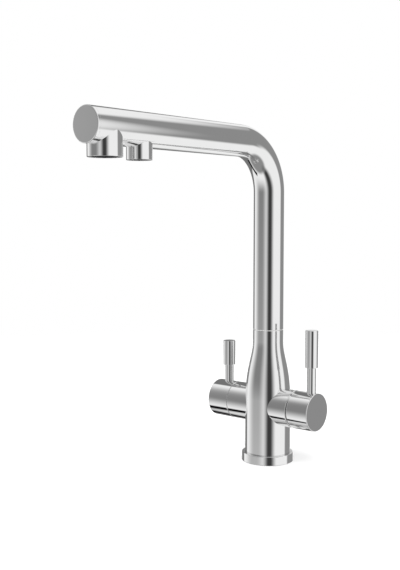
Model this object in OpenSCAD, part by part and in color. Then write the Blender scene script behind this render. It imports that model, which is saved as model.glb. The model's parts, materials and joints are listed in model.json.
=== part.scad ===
// Three way filtered water tap: a bottle-shaped body with a mixer lever on one side and a filtered
// water lever on the other, and a swivelling spout with a separate outlet for each kind of water.
// Z is up and the deck is z = 0. The spout points along -Y, the mixer hub along +X and the filter
// hub along -X. "Up" on a hub is the height above the hubs' common axis.

/* [Spout] */
// Outer diameter of the spout tube
pipe_d = 30; // [29:0.5:31]
// Wall thickness of the spout tube
pipe_wall = 1.5; // [1.2:0.1:1.8]
// Height of the arm's centreline above the deck
spout_height = 314.5; // [290:0.5:340]
// Centreline radius of the bend
bend_r = 48; // [40:1:60]
// Thickness of the disc that closes the end of the spout
end_disc_t = 3; // [2:0.5:4]

/* [Outlets] */
// Distance from the body's axis to the mixed water outlet
main_outlet_reach = 218.4; // [180:0.2:260]
// Distance from that outlet's edge to the spout's end face
end_margin = 6.1; // [5:0.1:20]
// Distance between the edges of the two outlets
outlet_gap = 13.2; // [6:0.1:40]
// Outer diameter of the mixed water outlet
main_outlet_d = 29; // [28:0.1:29.6]
// How far the mixed water outlet hangs below the tube
main_outlet_drop = 9.5; // [9.5:0.1:14]
// Outer diameter of the filtered water outlet
filter_outlet_d = 22; // [19:0.2:23]
// How far the filtered water outlet hangs below the tube
filter_outlet_drop = 10; // [9.6:0.1:14]

/* [Body] */
// Outer diameter of the body
body_d = 45; // [42:0.5:54]
// Wall thickness of the body
body_wall = 3; // [2.8:0.1:3.2]
// Height of the seam between the body and the spout
body_h = 131.5; // [115:0.5:155]
// Height of the straight collar below that seam
neck_collar_h = 11.5; // [9:0.5:14]
// Height of the sloping neck below that collar
neck_h = 56.7; // [45:0.1:62]
// Share of the neck's slope that the outward curve at the shoulder takes
shoulder_share = 0.711; // [0.5:0.001:0.72]
// Share of the neck's slope that the inward curve at the throat takes
throat_share = 0.252; // [0.1:0.002:0.26]
// How far the base flange stands out from the body
flange_lip = 3.1; // [2.8:0.1:6]
// Height of the base flange
flange_h = 8.7; // [7:0.1:12]

/* [Valve hubs] */
// Outer diameter of both hubs
hub_d = 36.9; // [36.4:0.1:38]
// Height of the hubs' axis above the deck, as a share of the body's height
hub_height_share = 0.423574; // [0.4:0.001:0.435]
// Distance from the body's side to the mixer hub's seam
mixer_sleeve_l = 12.2; // [11.5:0.1:15]
// Distance from that seam to the mixer hub's end face
mixer_cap_l = 23.9; // [23:0.1:28]
// Width of the mixer hub's seam, which lets its handle tilt
mixer_seam_gap = 1.2; // [1:0.1:1.5]
// Largest tilt of the mixer handle, in degrees
tilt_max = 20; // [15:1:20]
// Distance from the body's side to the filter hub's seam
filter_sleeve_l = 15.8; // [15:0.1:19]
// Distance from that seam to the filter hub's end face
filter_cap_l = 24.5; // [23:0.1:28]
// Width of the filter hub's seam
filter_seam_gap = 0.3; // [0.2:0.05:0.6]

/* [Levers] */
// Diameter of the lever grips
grip_d = 12.2; // [11.5:0.1:14]
// Diameter of the lever stems
stem_d = 8.8; // [8.2:0.1:10]
// Distance from the mixer hub's seam to its lever
mixer_lever_offset = 17.2; // [17:0.05:17.3]
// Height of the mixer lever's top above the hubs' axis
mixer_lever_rise = 78.9; // [70:0.1:95]
// Length of the mixer lever's grip
mixer_grip_l = 36.1; // [28:0.1:42]
// Distance from the filter hub's seam to its lever
filter_lever_offset = 11.4; // [11:0.1:14]
// Height of the filter lever's top above the hubs' axis
filter_lever_rise = 60.3; // [54:0.1:75]
// Length of the filter lever's grip
filter_grip_l = 25.1; // [20:0.1:30]

/* [Connections] */
// Tapping radius of the three M10 x 1 hose threads
hose_thread_r = 4.5; // [4.3:0.1:4.6]
// Depth of the hose threads
hose_thread_l = 12; // [10:0.5:14]
// Tapping radius of the two M8 stud threads
stud_thread_r = 3.4; // [3.3:0.05:3.5]
// Depth of the stud threads
stud_thread_l = 16; // [12:0.5:20]

/* [Hidden] */
$fn = 96;

// Sides of the body: the mixer hub is on +X and the filter hub on -X
MIXER = 1;
FILTER = -1;

// Clearances: of a part that turns or slides, of a part that stays put, of a lever's slot, between
// a tilting cap and its sleeve, at a shoulder's face, and how far a cut runs past a face
running_fit = 0.05;
seat_fit = 0.05;
slot_gap = 0.2;
tilt_gap = 0.25;
face_gap = 0.3;
cut_over = 0.5;

// Radii of the driving diameters
pipe_r = pipe_d / 2;
pipe_bore_r = pipe_r - pipe_wall;
body_r = body_d / 2;
flange_r = body_r + flange_lip;
hub_r = hub_d / 2;
grip_r = grip_d / 2;
stem_r = stem_d / 2;
main_outlet_r = main_outlet_d / 2;
filter_outlet_r = filter_outlet_d / 2;

// Places that follow one driving size: the end face and the filtered outlet follow the mixed
// outlet, the hubs' axis and the levers' tops the body's height, and the seams the body's side
spout_reach = main_outlet_reach + main_outlet_r + end_margin;
filter_outlet_reach = main_outlet_reach - main_outlet_r - outlet_gap - filter_outlet_r;
hub_z = body_h * hub_height_share;
mixer_lever_top = hub_z + mixer_lever_rise;
filter_lever_top = hub_z + filter_lever_rise;
mixer_seam_x = body_r + mixer_sleeve_l;
filter_seam_x = body_r + filter_sleeve_l;
mixer_lever_x = mixer_seam_x + mixer_lever_offset;
filter_lever_x = filter_seam_x + filter_lever_offset;

// Chamfers on visible edges
flange_chamfer = 0.6;
seam_chamfer = 0.4;
hub_chamfer = 0.6;
grip_chamfer = 0.5;
outlet_chamfer = 0.4;
end_chamfer = 0.8;

// Body: the lip of the flange that the shell stands on, and the cavity inside the shell
foot_z = 2;
cavity_r = body_r - body_wall;
neck_steps = 20;
neck_top_z = body_h - neck_collar_h;

// Base seal, a square ring in a groove under the flange
base_seal_inset = 1.5;
base_seal_r = body_r - base_seal_inset;
base_seal_w = 2.7;
base_seal_t = 1.3;

// Valve core: its rise above the hubs' axis, the chamber in its top and the post in the chamber
core_r = cavity_r - seat_fit;
core_rise = 21.8;
core_h = hub_z + core_rise;
chamber_r = 14;
chamber_depth = 6;
chamber_z = core_h - chamber_depth;
post_r = 5.5;
post_h = 14.5;
post_top_z = chamber_z + post_h;

// Places of the hose and stud threads, and the waterways bored above them
way_r = 2.2;
supply_x = 4;
supply_thread_y = 7.2;
supply_way_y = 5.2;
filter_thread_x = 8.5;
filter_way_x = 7;
stud_x = 7;
stud_y = 12;
mixed_way_x = 6.4;
filter_cross_r = 1.8;
filter_cross_drop = 3.7;
filter_cross_z = chamber_z - filter_cross_drop;

// O-rings of the core, in grooves above and below the valve pockets
ring_section_r = 0.8;
ring_groove_w = 2.2;
ring_groove_depth = 2 * ring_section_r;
core_ring_low_z = 28;
core_ring_high_z = chamber_z + chamber_depth / 2;

// Spigots by which the sleeves screw into the body
spigot_r = 14.2;

// Mixer cartridge: its floor in the core and its radius
cartridge_depth = 24.7;
cartridge_x = mixer_seam_x - cartridge_depth;
cartridge_r = 12.4;
cartridge_bore_r = 10.6;
cartridge_shoulder_setback = 3.7;
cartridge_shoulder_x = mixer_seam_x - cartridge_shoulder_setback;
cartridge_neck_r = 10.4;
cartridge_neck_l = 3;
cartridge_neck_end_x = cartridge_shoulder_x + cartridge_neck_l;
seal_plate_t = 1.2;
mixer_disc_t = 2.5;
mixer_disc_x = cartridge_x + seal_plate_t;
moving_disc_x = mixer_disc_x + mixer_disc_t;
moving_disc_t = 3.4;
moving_disc_r = 8.2;
port_r = 1.8;
supply_port_up = -3;
mixed_port_up = 4.9;
disc_chamber_r = 2.2;
disc_chamber_up = 4.6;
disc_chamber_depth = 1.8;

// Mixer pivot, and the rod that tilts about it
pivot_setback = 14.7;
pivot_x = mixer_seam_x - pivot_setback;
rod_w = 4.2;
rod_foot_l = 4;
rod_foot_r = 1.4;
rod_neck_r = 1;
foot_fit = 0.15;
pin_r = 1;
pin_half_l = 9;

// Carrier that turns in the cartridge and holds the pivot pin
carrier_x = moving_disc_x + moving_disc_t + face_gap;
carrier_r = cartridge_bore_r - running_fit;
carrier_half_l = 7;
carrier_shoulder_x = pivot_x + carrier_half_l;
carrier_neck_bore_r = 8.9;
carrier_neck_r = carrier_neck_bore_r - running_fit;
carrier_end_x = cartridge_neck_end_x;

// Mixer hub: ends of the sleeve and the cap, and the ball of space that the fixed pieces keep to
mixer_sleeve_end_x = mixer_seam_x - mixer_seam_gap / 2;
mixer_rim_x = mixer_seam_x + mixer_seam_gap / 2;
mixer_face_x = mixer_seam_x + mixer_cap_l;
sleeve_reach_flat = norm([mixer_sleeve_end_x - pivot_x, hub_r - hub_chamfer]);
sleeve_reach_side = norm([mixer_sleeve_end_x - hub_chamfer - pivot_x, hub_r]);
fixed_ball_r = max(sleeve_reach_flat, sleeve_reach_side);
mixer_bore_r = sqrt(pow(fixed_ball_r + tilt_gap, 2) - pow(mixer_rim_x - pivot_x, 2));
mixer_boss_gap = 2.4;
mixer_boss_x = pivot_x + fixed_ball_r + mixer_boss_gap;

// Retaining nut and dome cover of the mixer
nut_r = 14.9;
nut_end_x = mixer_sleeve_end_x - face_gap;
nut_slots = 4;
nut_slot_w = 3;
nut_slot_depth = 1.2;
dome_t = 0.9;
dome_setback = 0.25;
dome_r = fixed_ball_r - dome_setback;
dome_hole_r = 10.5;

// Handle caps: the end wall, the boss that grips the spindle and the pads for lever and screw
cap_end_t = 3.3;
boss_r = 7;
pad_r = 5.4;
lever_thread_r = 3;
lever_root_up = 9;
grip_socket_l = 12;
grub_r = 2.1;
grub_l = 6;
grub_key_r = 1.1;
grub_key_depth = 2.5;

// Filter valve: a quarter turn headwork with two ceramic discs
valve_depth = 26.3;
valve_x = filter_seam_x - valve_depth;
filter_out_way_l = 4;
filter_out_way_x = valve_x + filter_out_way_l;
valve_r = 9;
valve_seal_t = 1.2;
valve_disc_t = 2.2;
valve_disc_r = 6.4;
valve_disc_x = valve_x + valve_seal_t;
valve_turning_x = valve_disc_x + valve_disc_t;
valve_port_r = 1.6;
valve_port_up = 3.4;
valve_bore_r = valve_disc_r + seat_fit;
spindle_x = valve_turning_x + valve_disc_t;
spindle_foot_t = 2.6;
valve_step_x = spindle_x + spindle_foot_t + face_gap;
valve_barrel_l = 16;
valve_hex_x = valve_x + valve_barrel_l;
valve_hex_t = 5;
valve_hex_r = 12;
valve_neck_r = 7;
valve_neck_l = 4;
valve_neck_end_x = valve_hex_x + valve_hex_t + valve_neck_l;
spindle_r = 4.1;
spindle_square = 5.7;
spindle_round_l = 22.4;
spindle_square_x = spindle_x + spindle_round_l;
spindle_ring_l = 6.4;
spindle_ring_x = spindle_x + spindle_ring_l;
spindle_ring_r = 0.5;
spindle_ring_w = 1.4;
clip_t = 0.8;
clip_depth = 0.6;
clip_r = 5.8;
clip_x = valve_neck_end_x + seat_fit;

// Filter hub
filter_sleeve_end_x = filter_seam_x - filter_seam_gap / 2;
filter_rim_x = filter_seam_x + filter_seam_gap / 2;
filter_face_x = filter_seam_x + filter_cap_l;
filter_boss_l = 6;
filter_boss_x = filter_lever_x - filter_boss_l;
hub_cavity_r = 15;

// Spout swivel: the glide ring in the seam, the bush and the socket in the body
glide_t = 0.5;
glide_setback = 0.5;
spout_z = body_h + glide_t;
socket_r = 12.05;
socket_l = 33.5;
socket_z = body_h - socket_l;
bush_r = socket_r - running_fit;
bush_bore_r = 8.5;
bush_insert_l = 14;
spout_ring_gap = 8;
spout_ring_low_z = socket_z + ring_groove_w * 2;
spout_ring_high_z = spout_ring_low_z + spout_ring_gap;
lock_drop = 9.5;
lock_z = body_h - lock_drop;
lock_groove_w = 3;
lock_groove_depth = 1.2;
lock_screw_r = 2;
lock_tip_r = 1.3;
lock_tip_l = 1.8;
lock_head_setback = 0.4;

// Spout arm: the end disc's spigot and the centre of the bend
end_disc_y = spout_reach - end_disc_t;
end_spigot_l = 4;
end_spigot_wall = 2;
bend_z = spout_height - bend_r;
arm_under_z = spout_height - pipe_r;

// Filtered water tube inside the spout, and the elbow over its outlet
inner_tube_r = 3;
inner_tube_bore_r = 2;
tube_insert_l = 12;
inner_tube_z = post_top_z - tube_insert_l;
tube_ring_r = 0.75;
tube_ring_w = 1.8;
tube_ring_drop = 5.5;
tube_ring_z = post_top_z - tube_ring_drop;
tube_groove_r = inner_tube_r + 2 * (tube_ring_r + running_fit);
elbow_r = 5.2;
elbow_spigot_r = 4.1;
elbow_bore_r = 2.2;
elbow_socket_depth = 3.4;
elbow_head = 5;
elbow_foot_rise = 1;
elbow_foot_z = spout_height - pipe_bore_r + elbow_foot_rise;

// Outlets: bores, seats and inserts
main_bottom_z = arm_under_z - main_outlet_drop;
filter_bottom_z = arm_under_z - filter_outlet_drop;
seat_t = 1.5;
seat_z = arm_under_z - seat_t;
main_insert_r = 12;
main_seat_r = 9.5;
washer_t = 1.5;
insert_recess = 1.5;
housing_wall = 1.8;
housing_lip = 1;
screen_t = 0.6;
screen_hole_r = 0.55;
screen_rings = 4;
insert_hole_r = 0.9;
insert_rings = 3;
filter_insert_r = 7.8;
filter_seat_r = elbow_spigot_r + seat_fit;
filter_washer_bore_r = 5;
hole_pitch = 2.2;
aerator_hole_pitch = 3.3;

// A vertical cylinder, by its ends' heights
module post(r, z0, z1, x = 0, y = 0) {
  translate([x, y, z0]) cylinder(r = r, h = z1 - z0);
}

// A cylinder along a hub's axis, by its ends' distances from the body's axis
module bar(side, r, a, b, y = 0, up = 0) {
  translate([side * a, y, hub_z + up]) rotate([0, side * 90, 0]) cylinder(r = r, h = b - a);
}

// A square bar along a hub's axis
module square_bar(side, w, a, b) {
  translate([side * (a + b) / 2, 0, hub_z]) cube([b - a, w, w], center = true);
}

// Outline of a ring with optional chamfers on its outer edges, as [radius, place] points
function band(ro, ri, a, b, ca = 0, cb = 0) = concat(
  [[ri, a]],
  ca > 0 ? [[ro - ca, a], [ro, a + ca]] : [[ro, a]],
  cb > 0 ? [[ro, b - cb], [ro - cb, b]] : [[ro, b]],
  [[ri, b]]);

// A ring about the body's axis, or about a parallel axis
module ring(ro, ri, z0, z1, c0 = 0, c1 = 0, x = 0, y = 0) {
  translate([x, y, 0]) rotate_extrude() polygon(band(ro, ri, z0, z1, c0, c1));
}

// A ring about a hub's axis
module hub_ring(side, ro, ri, a, b, ca = 0, cb = 0) {
  translate([0, 0, hub_z]) rotate([0, side * 90, 0])
    rotate_extrude() polygon(band(ro, ri, a, b, ca, cb));
}

// A round rubber ring about the Z axis, by the middle of its section
module o_ring(r, z, section_r) {
  translate([0, 0, z]) rotate_extrude() translate([r, 0]) circle(r = section_r, $fn = 32);
}

// Side outline of the body from the foot to the seam: a shoulder arc, a cone and a throat arc.
// neck_whole_r is the sum of the two radii that would leave no cone between the arcs, and the
// cone's slope is the one at which both arcs meet it without a corner
neck_in = body_r - pipe_r;
neck_whole_r = (neck_h * neck_h + neck_in * neck_in) / (2 * neck_in);
shoulder_r = shoulder_share * neck_whole_r;
throat_r = throat_share * neck_whole_r;
neck_arcs_r = shoulder_r + throat_r;
neck_angle = asin(neck_arcs_r / norm([neck_h, neck_arcs_r - neck_in]))
  - atan2(neck_arcs_r - neck_in, neck_h);
throat_out_r = pipe_r + throat_r * (1 - cos(neck_angle));
throat_low_z = neck_top_z - throat_r * sin(neck_angle);
shoulder_in_r = body_r - shoulder_r * (1 - cos(neck_angle));
shoulder_high_z = throat_low_z - (shoulder_in_r - throat_out_r) / tan(neck_angle);
shoulder_low_z = shoulder_high_z - shoulder_r * sin(neck_angle);
function shoulder_point(a) =
  [body_r - shoulder_r * (1 - cos(a)), shoulder_low_z + shoulder_r * sin(a)];
function throat_point(a) = [pipe_r + throat_r * (1 - cos(a)), neck_top_z - throat_r * sin(a)];
body_outline = concat(
  [[0, foot_z], [body_r, foot_z]],
  [for (i = [0:neck_steps]) shoulder_point(neck_angle * i / neck_steps)],
  [for (i = [neck_steps:-1:0]) throat_point(neck_angle * i / neck_steps)],
  [[pipe_r, body_h - seam_chamfer], [pipe_r - seam_chamfer, body_h], [0, body_h]]);

module body_solid() {
  rotate_extrude() polygon(body_outline);
}

module base_flange() color("silver") difference() {
  ring(flange_r, core_r + seat_fit, 0, flange_h, 0, flange_chamfer);
  post(body_r + seat_fit, foot_z, flange_h + cut_over);
  ring(base_seal_r + base_seal_w + seat_fit, base_seal_r - seat_fit, -cut_over, base_seal_t);
}

module base_seal() color("dimgray") ring(base_seal_r + base_seal_w, base_seal_r, 0, base_seal_t);

module body_shell() color("silver") difference() {
  body_solid();
  rotate_extrude() polygon([
    [0, foot_z - cut_over], [cavity_r, foot_z - cut_over], [cavity_r, core_h],
    [socket_r, socket_z], [socket_r, body_h + cut_over], [0, body_h + cut_over]]);
  bar(MIXER, spigot_r + seat_fit, -body_d, body_d);
  translate([0, 0, lock_z]) rotate([-90, 0, 0]) cylinder(r = lock_screw_r + seat_fit, h = body_d);
}

// The three ways of supply water, from a hose thread up to a valve
module supply_ways() {
  for (y_side = [1, -1]) {
    post(hose_thread_r, -cut_over, hose_thread_l, supply_x, y_side * supply_thread_y);
    post(way_r, hose_thread_l - cut_over, hub_z + supply_port_up, supply_x, y_side * supply_way_y);
    bar(MIXER, port_r, supply_x, cartridge_x + cut_over, y_side * supply_way_y, supply_port_up);
  }
  post(hose_thread_r, -cut_over, hose_thread_l, -filter_thread_x);
  post(way_r, hose_thread_l - cut_over, hub_z, -filter_way_x);
  bar(FILTER, way_r, filter_way_x, valve_x + cut_over);
}

// The ways of mixed water and of filtered water, from a valve up to the spout
module outgoing_ways() {
  bar(MIXER, port_r, mixed_way_x, cartridge_x + cut_over, 0, mixed_port_up);
  post(way_r, hub_z + mixed_port_up, chamber_z + cut_over, mixed_way_x);
  post(filter_cross_r, hub_z + valve_r / 2, filter_cross_z, -filter_out_way_x);
  translate([-filter_out_way_x, 0, filter_cross_z]) rotate([0, 90, 0])
    cylinder(r = filter_cross_r, h = filter_out_way_x);
  post(inner_tube_r + running_fit, filter_cross_z, post_top_z + cut_over);
}

module valve_core() color("burlywood") difference() {
  union() {
    difference() {
      post(core_r, 0, core_h);
      post(chamber_r, chamber_z, core_h + cut_over);
    }
    post(post_r, chamber_z - cut_over, post_top_z);
  }
  bar(MIXER, cartridge_r + seat_fit, cartridge_x, body_r);
  bar(FILTER, valve_r + seat_fit, valve_x, body_r);
  supply_ways();
  outgoing_ways();
  for (y_side = [1, -1]) post(stud_thread_r, -cut_over, stud_thread_l, -stud_x, y_side * stud_y);
  for (z = [core_ring_low_z, core_ring_high_z])
    ring(core_r + cut_over, core_r - ring_groove_depth, z - ring_groove_w / 2, z + ring_groove_w / 2);
  ring(tube_groove_r, 0, tube_ring_z - tube_ring_w / 2, tube_ring_z + tube_ring_w / 2);
}

module core_o_rings() color("dimgray")
  for (z = [core_ring_low_z, core_ring_high_z]) o_ring(core_r - ring_section_r, z, ring_section_r);

module filter_tube_o_ring() color("dimgray")
  o_ring(inner_tube_r + running_fit + tube_ring_r, tube_ring_z, tube_ring_r - running_fit / 2);

// Fixed sleeve of a hub: a tube cut to the body's curve, with a spigot through the body's wall
module sleeve(side, end_x, chamfer) {
  difference() {
    hub_ring(side, hub_r, 0, 0, end_x, 0, chamfer);
    body_solid();
  }
  difference() {
    bar(side, spigot_r, 0, body_r + cut_over);
    post(cavity_r, 0, body_h);
  }
}

module mixer_valve_sleeve() color("silver") difference() {
  sleeve(MIXER, mixer_sleeve_end_x, hub_chamfer);
  bar(MIXER, cartridge_r + seat_fit, 0, mixer_face_x);
  bar(MIXER, nut_r + seat_fit, cartridge_shoulder_x, mixer_face_x);
}

module filter_valve_sleeve() color("silver") difference() {
  sleeve(FILTER, filter_sleeve_end_x, seam_chamfer);
  bar(FILTER, valve_r + seat_fit, 0, filter_face_x);
  bar(FILTER, hub_cavity_r, valve_hex_x, filter_face_x);
}

module spout_glide_ring() color("white")
  ring(pipe_r - glide_setback, socket_r, body_h, body_h + glide_t);

// A point-first locking screw that faces the back, with a hexagon key socket
module spout_locking_screw() color("gray") translate([0, 0, lock_z]) rotate([-90, 0, 0]) difference() {
  union() {
    post(lock_tip_r, socket_r - lock_tip_l / 2, socket_r + lock_tip_l / 2);
    post(lock_screw_r, socket_r + slot_gap, pipe_r - lock_head_setback);
  }
  translate([0, 0, pipe_r - lock_head_setback - lock_screw_r / 2])
    cylinder(r = lock_screw_r / 2, h = lock_screw_r, $fn = 6);
}

// The two supply ports and the mixed water port through a plate of the cartridge
module cartridge_ports(a, b) {
  for (y_side = [1, -1])
    bar(MIXER, port_r, a - cut_over, b + cut_over, y_side * supply_way_y, supply_port_up);
  bar(MIXER, port_r, a - cut_over, b + cut_over, 0, mixed_port_up);
}

module mixer_seal_plate() color("dimgray") difference() {
  bar(MIXER, cartridge_r, cartridge_x, mixer_disc_x);
  cartridge_ports(cartridge_x, mixer_disc_x);
}

module mixer_fixed_disc() color("ivory") difference() {
  bar(MIXER, cartridge_bore_r - seat_fit, mixer_disc_x, moving_disc_x);
  cartridge_ports(mixer_disc_x, moving_disc_x);
}

module mixer_cartridge_shell() color("gainsboro") difference() {
  union() {
    bar(MIXER, cartridge_r, mixer_disc_x, cartridge_shoulder_x);
    bar(MIXER, cartridge_neck_r, cartridge_shoulder_x - cut_over, cartridge_neck_end_x);
  }
  bar(MIXER, cartridge_bore_r, mixer_disc_x - cut_over, carrier_shoulder_x + face_gap);
  bar(MIXER, carrier_neck_bore_r, carrier_shoulder_x, cartridge_neck_end_x + cut_over);
}

module mixer_retaining_nut() color("goldenrod") difference() {
  hub_ring(MIXER, nut_r, cartridge_neck_r + slot_gap, cartridge_shoulder_x, nut_end_x);
  for (i = [0:nut_slots - 1])
    translate([nut_end_x - nut_slot_depth, 0, hub_z])
      rotate([i * 360 / nut_slots, 0, 0])
        translate([0, -nut_slot_w / 2, cartridge_neck_r + nut_slot_w / 2])
          cube([nut_slot_depth + cut_over, nut_slot_w, nut_r]);
}

module mixer_dome_cover() color("silver") difference() {
  translate([pivot_x, 0, hub_z]) sphere(r = dome_r);
  translate([pivot_x, 0, hub_z]) sphere(r = dome_r - dome_t);
  bar(MIXER, hub_d, pivot_x - hub_d, mixer_sleeve_end_x);
  bar(MIXER, dome_hole_r, pivot_x, mixer_face_x);
}

// Side outline of the slot that the tilting rod sweeps in the carrier, as [outwards, up] points
slot_half = rod_w / 2 + slot_gap;
slot_in = carrier_x - cut_over - pivot_x;
slot_out = carrier_end_x + cut_over - pivot_x;
slot_outline = [
  [slot_in, -slot_half],
  [0, -slot_half / cos(tilt_max)],
  [slot_out, -slot_half / cos(tilt_max) - slot_out * tan(tilt_max)],
  [slot_out, slot_half],
  [0, slot_half / cos(tilt_max)],
  [slot_in, slot_half / cos(tilt_max) - slot_in * tan(tilt_max)]];

module mixer_carrier() color("whitesmoke") difference() {
  union() {
    bar(MIXER, carrier_r, carrier_x, carrier_shoulder_x);
    bar(MIXER, carrier_neck_r, carrier_shoulder_x - cut_over, carrier_end_x);
  }
  translate([pivot_x, 0, hub_z]) rotate([90, 0, 0])
    linear_extrude(height = 2 * slot_half, center = true) polygon(slot_outline);
  cross_pin(pin_r + seat_fit, pin_half_l + slot_gap);
}

// A pin across the mixer's axis at the pivot
module cross_pin(r, half_l) {
  translate([pivot_x, half_l, hub_z]) rotate([90, 0, 0]) cylinder(r = r, h = 2 * half_l);
}

module mixer_pivot_pin() color("gray") cross_pin(pin_r, pin_half_l);

module mixer_moving_disc() color("ivory") difference() {
  bar(MIXER, moving_disc_r, moving_disc_x, moving_disc_x + moving_disc_t);
  bar(MIXER, rod_foot_r + foot_fit, pivot_x - rod_foot_l - rod_foot_r - foot_fit, carrier_x);
  bar(MIXER, disc_chamber_r, moving_disc_x - cut_over, moving_disc_x + disc_chamber_depth,
    0, disc_chamber_up);
}

rod_end_x = mixer_face_x - cap_end_t - face_gap;

module mixer_rod() color("gray") difference() {
  union() {
    square_bar(MIXER, rod_w, pivot_x, rod_end_x);
    cross_pin(rod_w / 2, rod_w / 2);
    bar(MIXER, rod_neck_r, pivot_x - rod_foot_l, pivot_x);
    translate([pivot_x - rod_foot_l, 0, hub_z]) sphere(r = rod_foot_r, $fn = 48);
  }
  cross_pin(pin_r + running_fit, rod_w);
}

// Handle cap: a cup with an inner boss for the square spindle, a pad under the lever's thread and
// a pad for the grub screw opposite it
module handle_cap(side, rim_x, face_x, rim_chamfer, bore_r, boss_x, lever_x, spindle_w) {
  inner_x = face_x - cap_end_t;
  difference() {
    union() {
      difference() {
        hub_ring(side, hub_r, 0, rim_x, face_x, rim_chamfer, hub_chamfer);
        bar(side, bore_r, rim_x - cut_over, inner_x);
      }
      bar(side, boss_r, boss_x, inner_x + cut_over);
      intersection() {
        post(pad_r, hub_z - hub_r, hub_z + hub_r, side * lever_x);
        bar(side, (bore_r + hub_r) / 2, boss_x, face_x);
      }
    }
    square_bar(side, spindle_w + 2 * seat_fit, boss_x - cut_over, inner_x);
    post(lever_thread_r + seat_fit, hub_z + lever_root_up - face_gap, hub_z + hub_d, side * lever_x);
    post(grub_r + seat_fit, hub_z - hub_d, hub_z - spindle_w / 2, side * lever_x);
  }
}

// Lever stem: seated on the cap's curve, with a thread at each end
module lever_stem(side, lever_x, grip_z) {
  difference() {
    post(stem_r, hub_z + hub_r / 2, grip_z, side * lever_x);
    bar(side, hub_r, 0, hub_d + lever_x);
  }
  post(lever_thread_r, hub_z + lever_root_up, grip_z + grip_socket_l, side * lever_x);
}

module lever_grip(side, lever_x, grip_z, top_z) {
  difference() {
    ring(grip_r, 0, grip_z, top_z, grip_chamfer, grip_chamfer, side * lever_x);
    post(lever_thread_r + seat_fit, grip_z - cut_over, grip_z + grip_socket_l + face_gap,
      side * lever_x);
  }
}

module grub_screw(side, lever_x, spindle_w) {
  top_z = hub_z - spindle_w / 2 - seat_fit;
  difference() {
    post(grub_r, top_z - grub_l, top_z, side * lever_x);
    translate([side * lever_x, 0, top_z - grub_l - cut_over])
      cylinder(r = grub_key_r, h = grub_key_depth + cut_over, $fn = 6);
  }
}

mixer_grip_z = mixer_lever_top - mixer_grip_l;
filter_grip_z = filter_lever_top - filter_grip_l;

module mixer_cap() color("silver")
  handle_cap(MIXER, mixer_rim_x, mixer_face_x, seam_chamfer, mixer_bore_r, mixer_boss_x,
    mixer_lever_x, rod_w);
module mixer_lever_stem() color("silver") lever_stem(MIXER, mixer_lever_x, mixer_grip_z);
module mixer_lever_grip() color("silver")
  lever_grip(MIXER, mixer_lever_x, mixer_grip_z, mixer_lever_top);
module mixer_grub_screw() color("gray") grub_screw(MIXER, mixer_lever_x, rod_w);

module filter_valve_body() color("goldenrod") difference() {
  union() {
    bar(FILTER, valve_r, valve_disc_x, valve_hex_x + cut_over);
    translate([-valve_hex_x, 0, hub_z]) rotate([0, -90, 0])
      cylinder(r = valve_hex_r, h = valve_hex_t, $fn = 6);
    bar(FILTER, valve_neck_r, valve_hex_x, valve_neck_end_x);
  }
  bar(FILTER, valve_bore_r, valve_disc_x - cut_over, valve_step_x);
  bar(FILTER, spindle_r + running_fit, valve_disc_x, filter_face_x);
  post(valve_port_r, hub_z - valve_r - cut_over, hub_z + valve_r + cut_over, -filter_out_way_x);
}

module filter_valve_seal() color("dimgray") hub_ring(FILTER, valve_r, way_r, valve_x, valve_disc_x);

module filter_fixed_disc() color("ivory") difference() {
  bar(FILTER, valve_disc_r, valve_disc_x, valve_turning_x);
  for (up_side = [1, -1])
    bar(FILTER, valve_port_r, valve_x, spindle_x, 0, up_side * valve_port_up);
}

// Its ports lie across those of the fixed disc at rest, and meet them after a quarter turn
module filter_moving_disc() color("ivory") difference() {
  bar(FILTER, valve_disc_r, valve_turning_x, spindle_x);
  for (y_side = [1, -1])
    bar(FILTER, valve_port_r, valve_x, valve_step_x, y_side * valve_port_up);
}

spindle_end_x = filter_face_x - cap_end_t - face_gap;

module filter_spindle() color("gray") difference() {
  union() {
    bar(FILTER, valve_disc_r, spindle_x, spindle_x + spindle_foot_t);
    bar(FILTER, spindle_r, spindle_x, spindle_square_x);
    square_bar(FILTER, spindle_square, spindle_square_x - cut_over, spindle_end_x);
  }
  hub_ring(FILTER, spindle_r + cut_over, spindle_r - 2 * spindle_ring_r,
    spindle_ring_x - spindle_ring_w / 2, spindle_ring_x + spindle_ring_w / 2);
  hub_ring(FILTER, spindle_r + cut_over, spindle_r - clip_depth, clip_x, clip_x + clip_t + slot_gap);
}

module filter_spindle_o_ring() color("dimgray") translate([0, 0, hub_z]) rotate([0, -90, 0])
  o_ring(spindle_r - spindle_ring_r, spindle_ring_x, spindle_ring_r);

module filter_spindle_clip() color("gray")
  hub_ring(FILTER, clip_r, spindle_r - clip_depth + seat_fit, clip_x + seat_fit,
    clip_x + seat_fit + clip_t);

module filter_cap() color("silver")
  handle_cap(FILTER, filter_rim_x, filter_face_x, seam_chamfer, hub_cavity_r, filter_boss_x,
    filter_lever_x, spindle_square);
module filter_lever_stem() color("silver") lever_stem(FILTER, filter_lever_x, filter_grip_z);
module filter_lever_grip() color("silver")
  lever_grip(FILTER, filter_lever_x, filter_grip_z, filter_lever_top);
module filter_grub_screw() color("gray") grub_screw(FILTER, filter_lever_x, spindle_square);

// A round bar of the spout's run: up the riser from one height, round the bend and out along the
// arm to one reach
module spout_run(r, z0, reach) {
  post(r, z0, bend_z);
  translate([0, -bend_r, bend_z]) rotate([90, 0, 90])
    rotate_extrude(angle = 90) translate([bend_r, 0]) circle(r = r);
  translate([0, -bend_r, spout_height]) rotate([90, 0, 0]) cylinder(r = r, h = reach - bend_r);
}

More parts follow.
